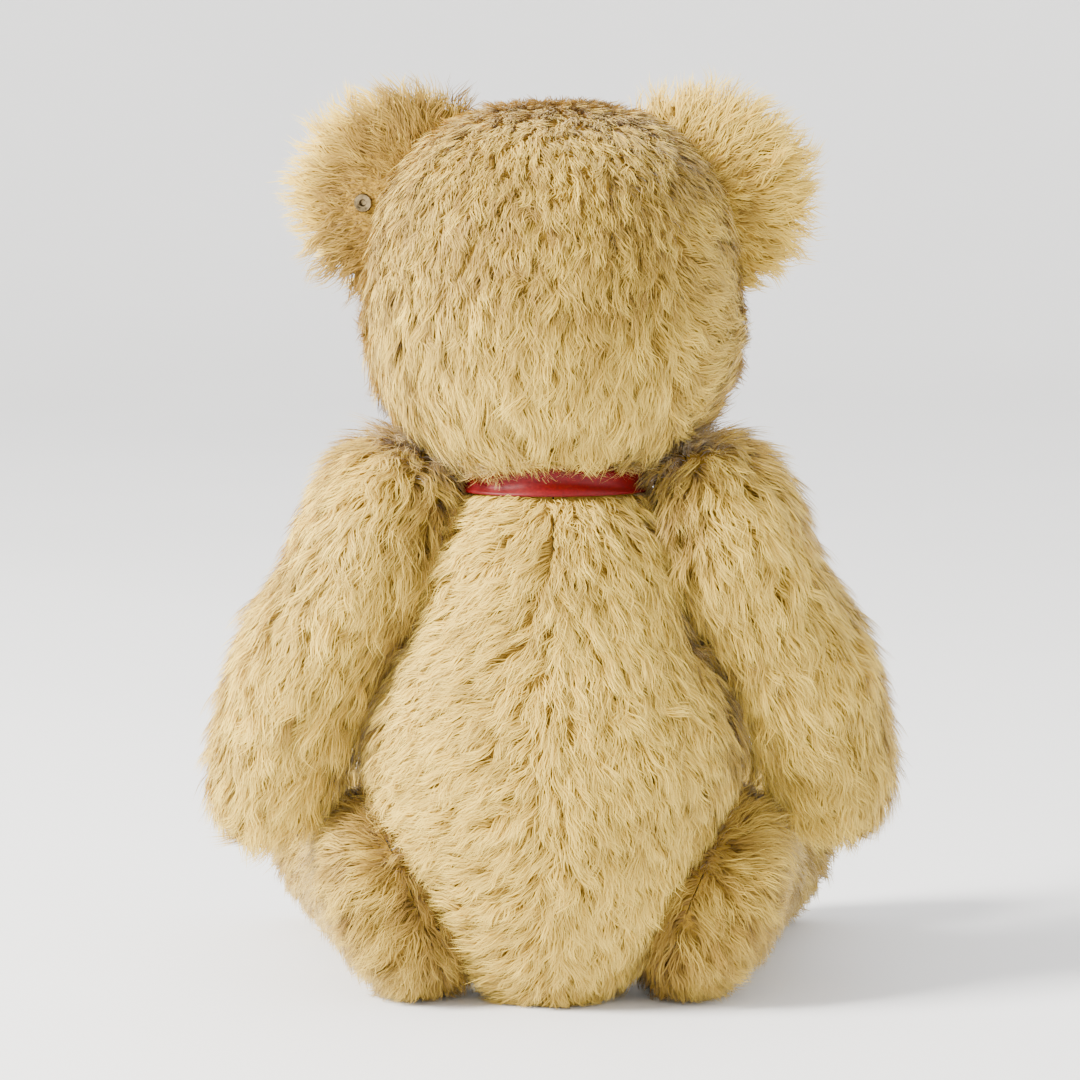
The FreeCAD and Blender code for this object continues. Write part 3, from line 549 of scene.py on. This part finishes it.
def head_tint(roots, normals):
    x, _, z = roots.T
    crown = 0.22 * ramp(z, 232 * MM, 246 * MM)
    return 0.4 + crown + 0.3 * (1 - ramp(z, 165 * MM, 215 * MM)) + 0.16 * bumps(roots, 26 * MM, 5)


for node in ("head_cover_left", "head_cover_right", "head_gusset"):
    name = node.replace("head_", "fur_head_").replace("cover_", "")
    grow(name, fur_ground(node), "head", head_comb, head_length, head_tint)


# Ears: cupped, their locks run out from the root and hang over the rim as a pale fringe.
STUD_PLACE = np.array(sum(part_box("ear_stud"), Vector()) / 2)
for word, side in SIDES:
    cup, ear_root = EAR_CUP * (side, 1, 1) * MM, EAR_ROOT * (side, 1, 1) * MM

    def ear_comb(roots, normals):
        return roots - ear_root + np.array((0, 0, -0.004))

    def ear_length(roots, normals):
        out = np.linalg.norm(roots - ear_root, axis=1)
        length = 4.5 + 8.0 * ramp(out, 20 * MM, 31 * MM)
        from_stud = np.linalg.norm(roots - STUD_PLACE, axis=1)
        length *= 0.35 + 0.65 * ramp(from_stud, 4 * MM, 12 * MM)
        return length * (from_stud > 3.2 * MM)

    for panel, radius in (("front", CUP_RADIUS - PANEL), ("back", CUP_RADIUS + PANEL)):
        node = f"ear_{word}_{panel}"
        points, triangles = welded(node)
        middles = points[triangles].mean(1)
        far = np.linalg.norm(middles - cup, axis=1)
        _, facing = smooth_normals(points, triangles)
        tilt = abs((unit(middles - cup) * unit(facing)).sum(1))
        skull = np.linalg.norm((middles - HEAD_CENTRE) / HEAD_HALF, axis=1)
        dish = (abs(far - radius * MM) < 0.3 * MM) & (skull > 1.0)
        keep = dish | ((tilt < 0.5) & (skull > 1.12))
        dark = 0.02 if (panel == "back" and side > 0) else 0.35

        def ear_tint(roots, normals, dark=dark):
            out = np.linalg.norm(roots - ear_root, axis=1)
            return dark + (1.1 - dark) * ramp(out, (29 if dark < 0.1 else 19) * MM, 33 * MM)

        grow(f"fur_ear_{word}_{panel}", (points, triangles[keep]), "head", ear_comb, ear_length,
             ear_tint, density=2.6, spacing=2.4, lift=0.5)


# Limbs: locks run down to the paws, and forwards and down along the legs.
def limb_tint(limb, side):
    joint = JOINTS[limb]
    at, axis = np.array(joint["pos_m"]), np.array(joint["axis"])
    axis = axis * np.sign(axis[0]) * side

    def shade(roots, normals):
        out = (roots - at) @ axis
        # Painted shade: each limb's fur is darker on its inner side, next to the body, where shade
        # falls.
        inner = 1 - ramp(out, 4 * MM, (26 if limb.startswith("arm") else 18) * MM)
        mean = 0.78 if limb.startswith("arm") else 0.4
        inner_fold_shade = 0.55 if limb.startswith("arm") else 0.35
        return mean - inner_fold_shade * inner + 0.16 * bumps(roots, 28 * MM, 9)

    return shade


for word, side in SIDES:
    for limb in ("arm", "leg"):
        tag = f"{limb}_{word}"
        heading = np.array((side * 0.35, 0.05, -1.0) if limb == "arm" else (side * 0.5, -0.75, -0.8))

        def limb_comb(roots, normals, heading=heading):
            return np.tile(heading, (len(roots), 1))

        for half in ("outer", "inner"):
            node = f"{tag}_cover_{half}"
            grow(f"fur_{tag}_{half}", fur_ground(node), tag, limb_comb,
                 constant(12.5 if limb == "arm" else 10.5), limb_tint(tag, side), lift=0.72)


# ---------------------------------------------------------------- embroidery
def surface_at(node_names):
    """Finds the front of the face, looking from the front."""
    trees = []
    for node in node_names:
        points, triangles = welded(node)
        trees.append(BVHTree.FromPolygons(points.tolist(), triangles.tolist()))

    def find(x, z):
        hits = [t.ray_cast(Vector((x, -0.2, z)), Vector((0, 1, 0)))[0] for t in trees]
        return min(h.y for h in hits if h is not None)

    return find


face_at = surface_at(("head_gusset", "head_cover_left", "head_cover_right"))
paths = []
for share in np.linspace(-0.94, 0.94, 21):
    x = share * NOSE_HALF[0]
    half = NOSE_HALF[1] * math.sqrt(1 - share**2)
    column = []
    for level in np.linspace(1, -1, 9):
        raised = (1.5 * math.sqrt(max(1 - level**2, 0)) - 0.3) * MM
        column.append((x, face_at(x, NOSE_AT[1] + level * half) - raised, NOSE_AT[1] + level * half))
    paths.append(column)
points, faces = tubes(paths, 0.55 * MM)
nose = new_piece("nose_threads", points, faces, "head", THREAD)
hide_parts("nose")

paths = []
fork = NOSE_AT[1] - NOSE_HALF[1] - 8 * MM
for start, end in (
    ((0, NOSE_AT[1] - NOSE_HALF[1] + 1 * MM), (0, fork)),
    ((0, fork), (9 * MM, fork - 5 * MM)),
    ((0, fork), (-9 * MM, fork - 5 * MM)),
):
    for offset in (-0.45 * MM, 0.45 * MM):
        line = []
        for share in np.linspace(0, 1, 9):
            x = start[0] + (end[0] - start[0]) * share + offset
            z = start[1] + (end[1] - start[1]) * share
            line.append((x, face_at(x, z) - (0.3 + 3.2 * math.sqrt(share * (1 - share))) * MM, z))
        paths.append(line)
points, faces = tubes(paths, 0.5 * MM)
mouth = new_piece("mouth_threads", points, faces, "head", THREAD)
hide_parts("mouth_stitches")


def islands(points, triangles):
    """Groups of points joined by triangles."""
    label = np.arange(len(points))
    while True:
        low = label[triangles].min(1)
        new = label.copy()
        for k in range(3):
            np.minimum.at(new, triangles[:, k], low)
        new = new[new]
        if (new == label).all():
            return [np.flatnonzero(label == v) for v in np.unique(label[triangles])]
        label = new


for limb in LIMBS:
    points, triangles = welded(limb + "_claws")
    filling, _ = welded(limb + "_filling")
    paths = []
    for group in islands(points, triangles):
        bar = points[group]
        middle = bar.mean(0)
        _, _, axes = np.linalg.svd(bar - middle)
        reach = (bar - middle) @ axes[0]
        outward = unit(middle - filling[np.linalg.norm(filling - middle, axis=1).argmin()])
        line = []
        for share in np.linspace(-1, 1, 9):
            at = share * abs(reach).max()
            near = bar[abs(reach - at) < 2.5 * MM]
            base = near.mean(0) if len(near) else middle + axes[0] * at
            line.append(base + outward * (0.2 + 3.0 * math.sqrt(max(1 - share**2, 0))) * MM)
        paths.append(line)
    points, faces = tubes(paths, 0.65 * MM)
    claws = new_piece(limb + "_claw_threads", points, faces, limb, THREAD)
    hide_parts(limb + "_claws")


# ---------------------------------------------------------------- ribbon
def strip(name, middle_line, across, widths, closed=False, rows=9, pleat=0.5):
    """A ribbon along a line. across holds unit vectors over its width; pleat is its ripple in mm."""
    line = np.asarray(middle_line, float)
    across = unit(np.asarray(across, float))
    normals = unit(np.cross(np.gradient(line, axis=0), across))
    places = np.arange(len(line))
    points = []
    for row in np.linspace(-0.5, 0.5, rows):
        ripple = pleat * MM * np.sin(row * 9.5 + 0.9 * np.sin(places * 0.23 + row * 2))
        points.append(line + across * (row * widths)[:, None] + normals * ripple[:, None])
    points = np.stack(points, 1).reshape(-1, 3)
    faces = []
    last = len(line) if closed else len(line) - 1
    for step in range(last):
        nxt = (step + 1) % len(line)
        for row in range(rows - 1):
            a, b = step * rows + row, nxt * rows + row
            faces.append((a, b, b + 1, a + 1))
    piece = new_piece(name, points, faces, "torso", SATIN)
    thick = piece.modifiers.new("thickness", "SOLIDIFY")
    thick.thickness = 0.3 * MM
    thick.offset = 0
    return piece


turn = np.linspace(0, 2 * math.pi, 96, endpoint=False)
ring_r = 26.0 * MM + 0.5 * MM * np.sin(3 * turn + 1) * 0.4
band_line = np.stack(
    (ring_r * np.sin(turn), 0.5 * MM - (ring_r - 1 * MM) * np.cos(turn), np.full(96, 151.6 * MM)), 1
)
lean = np.stack((-0.33 * np.sin(turn), 0.33 * np.cos(turn), np.ones(96)), 1)
band = strip("neck_band", band_line, lean, np.full(96, 10.2 * MM), closed=True, rows=13, pleat=0.55)
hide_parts("neck_ribbon")

BOW = np.array((0, -42, 152)) * MM
bow_pieces = []
for (word, side), reach in zip(SIDES, (49 * MM, 39 * MM)):
    lift = math.radians(13)
    out = np.array((side * math.cos(lift), 0, math.sin(lift)))
    up = np.array((-side * math.sin(lift), 0, math.cos(lift)))
    angles = np.linspace(-0.97 * math.pi, 0.97 * math.pi, 61)
    half = (reach - 3 * MM) / 2
    away = half * (1 + np.cos(angles))
    depth = 6.5 * MM * np.sin(angles) * (0.45 + 0.55 * ramp(away, 0, half))
    loop = BOW + np.outer(away + 2 * MM, out) + np.outer(depth, (0, 1, 0))
    loop += np.outer(3.2 * MM * np.minimum(np.sin(angles), 0) * ramp(away, 0, half), up)
    widths = RIBBON * (0.42 + 0.73 * ramp(away, 0, 0.9 * half))
    piece = strip(f"bow_loop_{word}", loop, np.tile(up, (61, 1)), widths, pleat=0.6)
    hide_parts("ribbon_bow")
    share = np.linspace(0, 1, 33)
    tail = np.stack(
        (
            side * (3 + 14 * share) * MM,
            (-41.5 - 2.5 * share - 1.0 * np.sin(5 * share)) * MM,
            (150 - 39 * share) * MM,
        ),
        1,
    )
    widths = RIBBON * (0.6 + 0.4 * ramp(share, 0, 0.35))
    flat = np.tile(np.array((math.cos(0.35), 0.12 * side, side * math.sin(0.35))), (33, 1))
    piece = strip(f"bow_tail_{word}", tail, flat, widths, pleat=0.45)
    notch = piece.data.vertices
    for row in range(9):
        depth = 1 - abs(row - 4) / 4
        for back in range(6):
            vertex = notch[(32 - back) * 9 + row]
            vertex.co.z += 5 * MM * depth * (1 - back / 6)
    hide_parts("ribbon_bow")
angles = np.linspace(0, 2 * math.pi, 40, endpoint=False)
wrap = BOW + np.stack(
    (np.zeros(40), 6.5 * MM * np.cos(angles), -0.5 * MM + 5.2 * MM * np.sin(angles)), 1
)
crosswise = np.tile((1.0, 0, 0), (40, 1))
knot = strip("bow_knot", wrap, crosswise, np.full(40, 9.5 * MM), closed=True, pleat=0.7)
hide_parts("ribbon_bow")


# ---------------------------------------------------------------- stage
def stage_floor():
    """A pale floor that curves up all round into a backdrop."""
    flat_radius, curve, wall_top, steps = 2.4, 1.2, 3.2, 64
    profile = [(0.0, 0.0), (0.6, 0.0), (1.4, 0.0), (flat_radius, 0.0)]
    for angle in np.linspace(0, math.pi / 2, 12)[1:]:
        profile.append((flat_radius + curve * math.sin(angle), curve * (1 - math.cos(angle))))
    profile.append((flat_radius + curve, wall_top))
    points = [(0, 0, 0)]
    for radius, height in profile[1:]:
        for k in range(steps):
            a = 2 * math.pi * k / steps
            points.append((radius * math.cos(a), radius * math.sin(a), height))
    faces = []
    for k in range(steps):
        faces.append((0, 1 + k, 1 + (k + 1) % steps))
    for ring in range(len(profile) - 2):
        for k in range(steps):
            a, b = 1 + ring * steps + k, 1 + ring * steps + (k + 1) % steps
            faces.append((a, a + steps, b + steps, b))
    mesh = bpy.data.meshes.new("floor")
    mesh.from_pydata(points, [], faces)
    shades = ((0.3, (0.87, 0.865, 0.85)), (0.7, (0.90, 0.895, 0.88)))
    mesh.materials.append(plain_material("floor_paper", shades, 0.4, (0.8, 0.9)))
    mesh.polygons.foreach_set("use_smooth", [True] * len(mesh.polygons))
    floor = bpy.data.objects.new("floor", mesh)
    bpy.context.scene.collection.objects.link(floor)


def area_light(name, place, target, size, power, colour):
    light = bpy.data.lights.new(name, "AREA")
    light.shape = "DISK"
    light.size = size
    light.energy = power
    light.color = colour
    lamp = bpy.data.objects.new(name, light)
    bpy.context.scene.collection.objects.link(lamp)
    lamp.location = place
    lamp.rotation_euler = (Vector(target) - Vector(place)).to_track_quat("-Z", "Y").to_euler()


stage_floor()
area_light("key", (1.6, 0.75, 1.3), (0, 0, 0.12), 0.7, 185, (1.0, 0.98, 0.95))
area_light("fill", (-1.4, 1.2, 0.9), (0, 0, 0.12), 1.2, 6, (0.97, 0.985, 1.0))
world = bpy.data.worlds.new("studio")
world.use_nodes = True
sky = world.node_tree.nodes["Background"].inputs
sky["Color"].default_value = (0.95, 0.96, 1.0, 1)
sky["Strength"].default_value = 1.58
bpy.context.scene.world = world

# Camera: a little above the shoulders, straight behind.
DISTANCE, ELEVATION, FRAME_WIDTH, SENSOR = 1.15, math.radians(6), 0.307, 36
camera = bpy.data.objects.new("camera", bpy.data.cameras.new("camera"))
bpy.context.scene.collection.objects.link(camera)
aim = Vector((3.7 * MM, 0, 132 * MM))
behind = Vector((0, math.cos(ELEVATION), math.sin(ELEVATION)))
camera.location = aim + DISTANCE * behind
camera.rotation_euler = (-behind).to_track_quat("-Z", "Y").to_euler()
camera.data.sensor_width = SENSOR
camera.data.lens = SENSOR * DISTANCE / FRAME_WIDTH
bpy.context.scene.camera = camera
